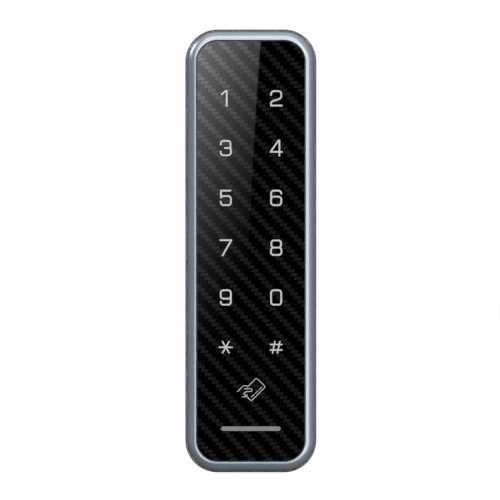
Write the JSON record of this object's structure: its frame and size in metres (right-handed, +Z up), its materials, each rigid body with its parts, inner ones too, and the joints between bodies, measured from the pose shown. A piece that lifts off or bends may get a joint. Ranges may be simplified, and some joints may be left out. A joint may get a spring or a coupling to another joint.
{
  "type": "keypad access reader",
  "caption": "Slim upright touch keypad and card reader: rounded metal bezel round a glossy black panel, on a steel wall bracket it hangs from and swings off.",
  "frame": {"origin": "middle of the wall bracket's back face, on the wall", "axes": "+X to the right seen from the front, +Y into the wall, +Z up; the front faces -Y"},
  "size_m": [0.044, 0.02, 0.1488],
  "materials": {
    "bezel_metal": "satin slate-blue metallic paint on a die casting",
    "panel_gloss": "back-printed polished panel with a carbon weave pattern",
    "cover_plastic": "fine moulded texture, dark grey",
    "bracket_steel": "zinc-plated pressed sheet",
    "fastener_steel": "plated screws, washer and spring",
    "seal_rubber": "soft black rubber",
    "board_laminate": "green solder mask",
    "mask_plastic": "white moulded light mask",
    "film_amber": "amber flexible circuit",
    "tape_black": "black double-sided tape",
    "coil_copper": "enamelled copper wire",
    "ferrite_grey": "dark grey ferrite",
    "chip_black": "black moulded packages",
    "can_metal": "bright drawn cans",
    "lamp_lens": "milky lamp lens",
    "connector_ivory": "ivory connector moulding",
    "plunger_white": "white moulded pin"
  },
  "bodies": {
    "bracket": {"wall_bracket": "bracket_steel"},
    "reader": {"front_panel": "panel_gloss", "panel_adhesive": "tape_black", "bezel_frame": "bezel_metal", "touch_film": "film_amber", "light_mask": "mask_plastic", "antenna_coil": "coil_copper", "ferrite_sheet": "ferrite_grey", "main_board": "board_laminate", "key_lamp_1": "lamp_lens", "key_lamp_2": "lamp_lens", "key_lamp_3": "lamp_lens", "key_lamp_4": "lamp_lens", "key_lamp_5": "lamp_lens", "key_lamp_6": "lamp_lens", "key_lamp_7": "lamp_lens", "key_lamp_8": "lamp_lens", "key_lamp_9": "lamp_lens", "key_lamp_10": "lamp_lens", "key_lamp_11": "lamp_lens", "key_lamp_12": "lamp_lens", "card_lamp": "lamp_lens", "status_lamp": "lamp_lens", "microcontroller": "chip_black", "card_reader_chip": "chip_black", "touch_chip": "chip_black", "crystal_can": "can_metal", "buzzer": "chip_black", "capacitor_1": "can_metal", "capacitor_2": "can_metal", "inductor": "ferrite_grey", "regulator": "chip_black", "cable_header": "connector_ivory", "tail_connector": "connector_ivory", "tamper_switch": "chip_black", "tamper_spring": "fastener_steel", "board_screw_1": "fastener_steel", "board_screw_2": "fastener_steel", "board_screw_3": "fastener_steel", "board_screw_4": "fastener_steel", "rear_seal": "seal_rubber", "rear_cover": "cover_plastic", "cover_screw_1": "fastener_steel", "cover_screw_2": "fastener_steel", "cover_screw_3": "fastener_steel", "cover_screw_4": "fastener_steel", "cable_grommet": "seal_rubber"},
    "tamper_pin": {"tamper_plunger": "plunger_white"},
    "lock_washer": {"lock_washer": "fastener_steel"},
    "lock_screw": {"lock_screw": "fastener_steel"}
  },
  "joints": [
    {"name": "reader_swing", "type": "hinge", "parent": "bracket", "child": "reader", "pos_m": [0, -0.0032, 0.0683], "axis": [-1, 0, 0], "range_deg": [0, 12]},
    {"name": "tamper_travel", "type": "slide", "parent": "reader", "child": "tamper_pin", "axis": [0, 1, 0], "range_m": [0, 0.0012], "stiffness_N_per_m": 250, "springref_m": 0.003, "deforming": ["tamper_spring"]},
    {"name": "lock_travel", "type": "slide", "parent": "bracket", "child": "lock_washer", "axis": [0, 0, -1], "range_m": [0, 0.006]},
    {"name": "lock_turn", "type": "hinge", "parent": "lock_washer", "child": "lock_screw", "pos_m": [0, -0.0046, -0.07], "axis": [0, 0, -1], "range_deg": [0, 4320]}
  ],
  "couplings": [
    {"joint": "lock_turn", "follows": "lock_travel", "rad_per_m": 12566}
  ]
}
